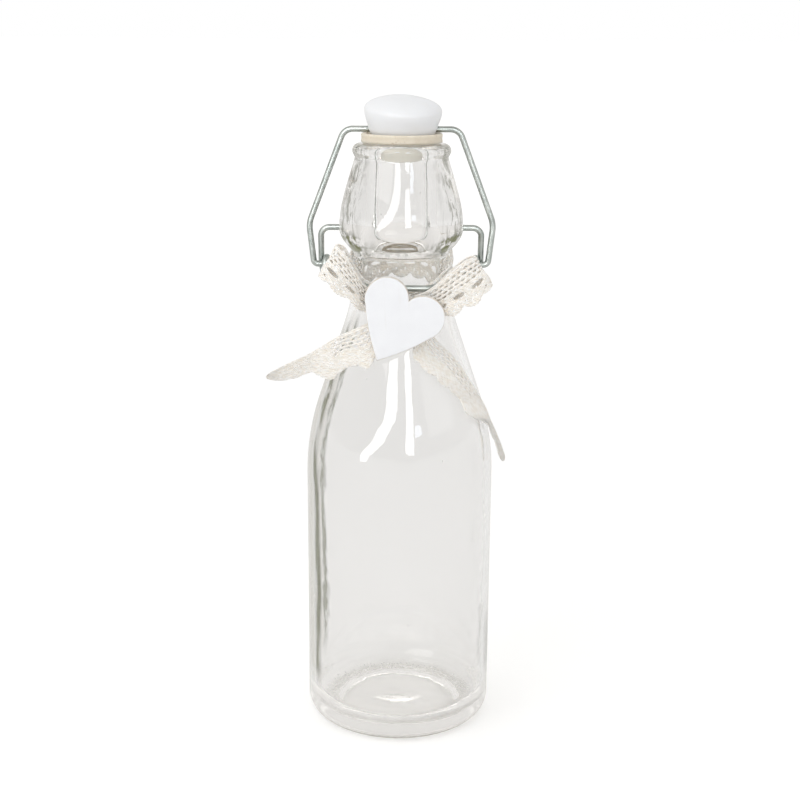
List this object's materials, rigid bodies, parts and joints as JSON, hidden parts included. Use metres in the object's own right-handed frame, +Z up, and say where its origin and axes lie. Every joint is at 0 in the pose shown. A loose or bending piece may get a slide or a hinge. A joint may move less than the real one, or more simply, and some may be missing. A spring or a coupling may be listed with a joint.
{
  "type": "swing-top glass bottle",
  "caption": "Clear glass swing-top bottle with a wire lever closure, domed white stopper, cream washer, lace ribbon bow and white wooden heart.",
  "frame": {"origin": "bottom centre of the whole part's bounding box, on the plane the bottle stands on; the bottle's own axis stands 3.4 mm from it towards +X, because the bow's left tail reaches further out", "axes": "+Z up along the bottle's axis; -Y is the front, where the bow and the heart are; +X is to the viewer's right"},
  "size_m": [0.0761, 0.06, 0.2027],
  "materials": {
    "clear_glass": "clear, smooth",
    "zinc_wire": "drawn, zinc plated",
    "white_stopper": "satin",
    "cream_rubber": "matte",
    "ivory_lace": "cotton crochet lace",
    "white_painted_wood": "matte paint on plywood",
    "clear_glue": "hot glue"
  },
  "bodies": {
    "bottle": {"glass_bottle": "clear_glass", "ribbon_neck_band": "ivory_lace", "ribbon_knot": "ivory_lace", "bow_loop_left": "ivory_lace", "bow_loop_right": "ivory_lace", "ribbon_tail_left": "ivory_lace", "ribbon_tail_right": "ivory_lace", "wooden_heart": "white_painted_wood", "glue_dab": "clear_glue"},
    "lever": {"lever_wire": "zinc_wire"},
    "yoke": {"yoke_wire": "zinc_wire"},
    "stopper": {"stopper_head": "white_stopper", "sealing_washer": "cream_rubber"}
  },
  "joints": [
    {"name": "lever_turn", "type": "hinge", "parent": "bottle", "child": "lever", "pos_m": [0.0034, 0, 0.1623], "axis": [-1, 0, 0], "range_deg": [0, 82]},
    {"name": "yoke_turn", "type": "hinge", "parent": "lever", "child": "yoke", "pos_m": [0.0034, 0, 0.1507], "axis": [-1, 0, 0], "range_deg": [-61.5, 0]},
    {"name": "stopper_turn", "type": "hinge", "parent": "yoke", "child": "stopper", "pos_m": [0.0034, 0, 0.1926], "axis": [-1, 0, 0], "range_deg": [-20.5, 0]}
  ],
  "couplings": [
    {"joint": "yoke_turn", "follows": "lever_turn", "ratio": -0.75},
    {"joint": "stopper_turn", "follows": "lever_turn", "ratio": -0.25}
  ]
}
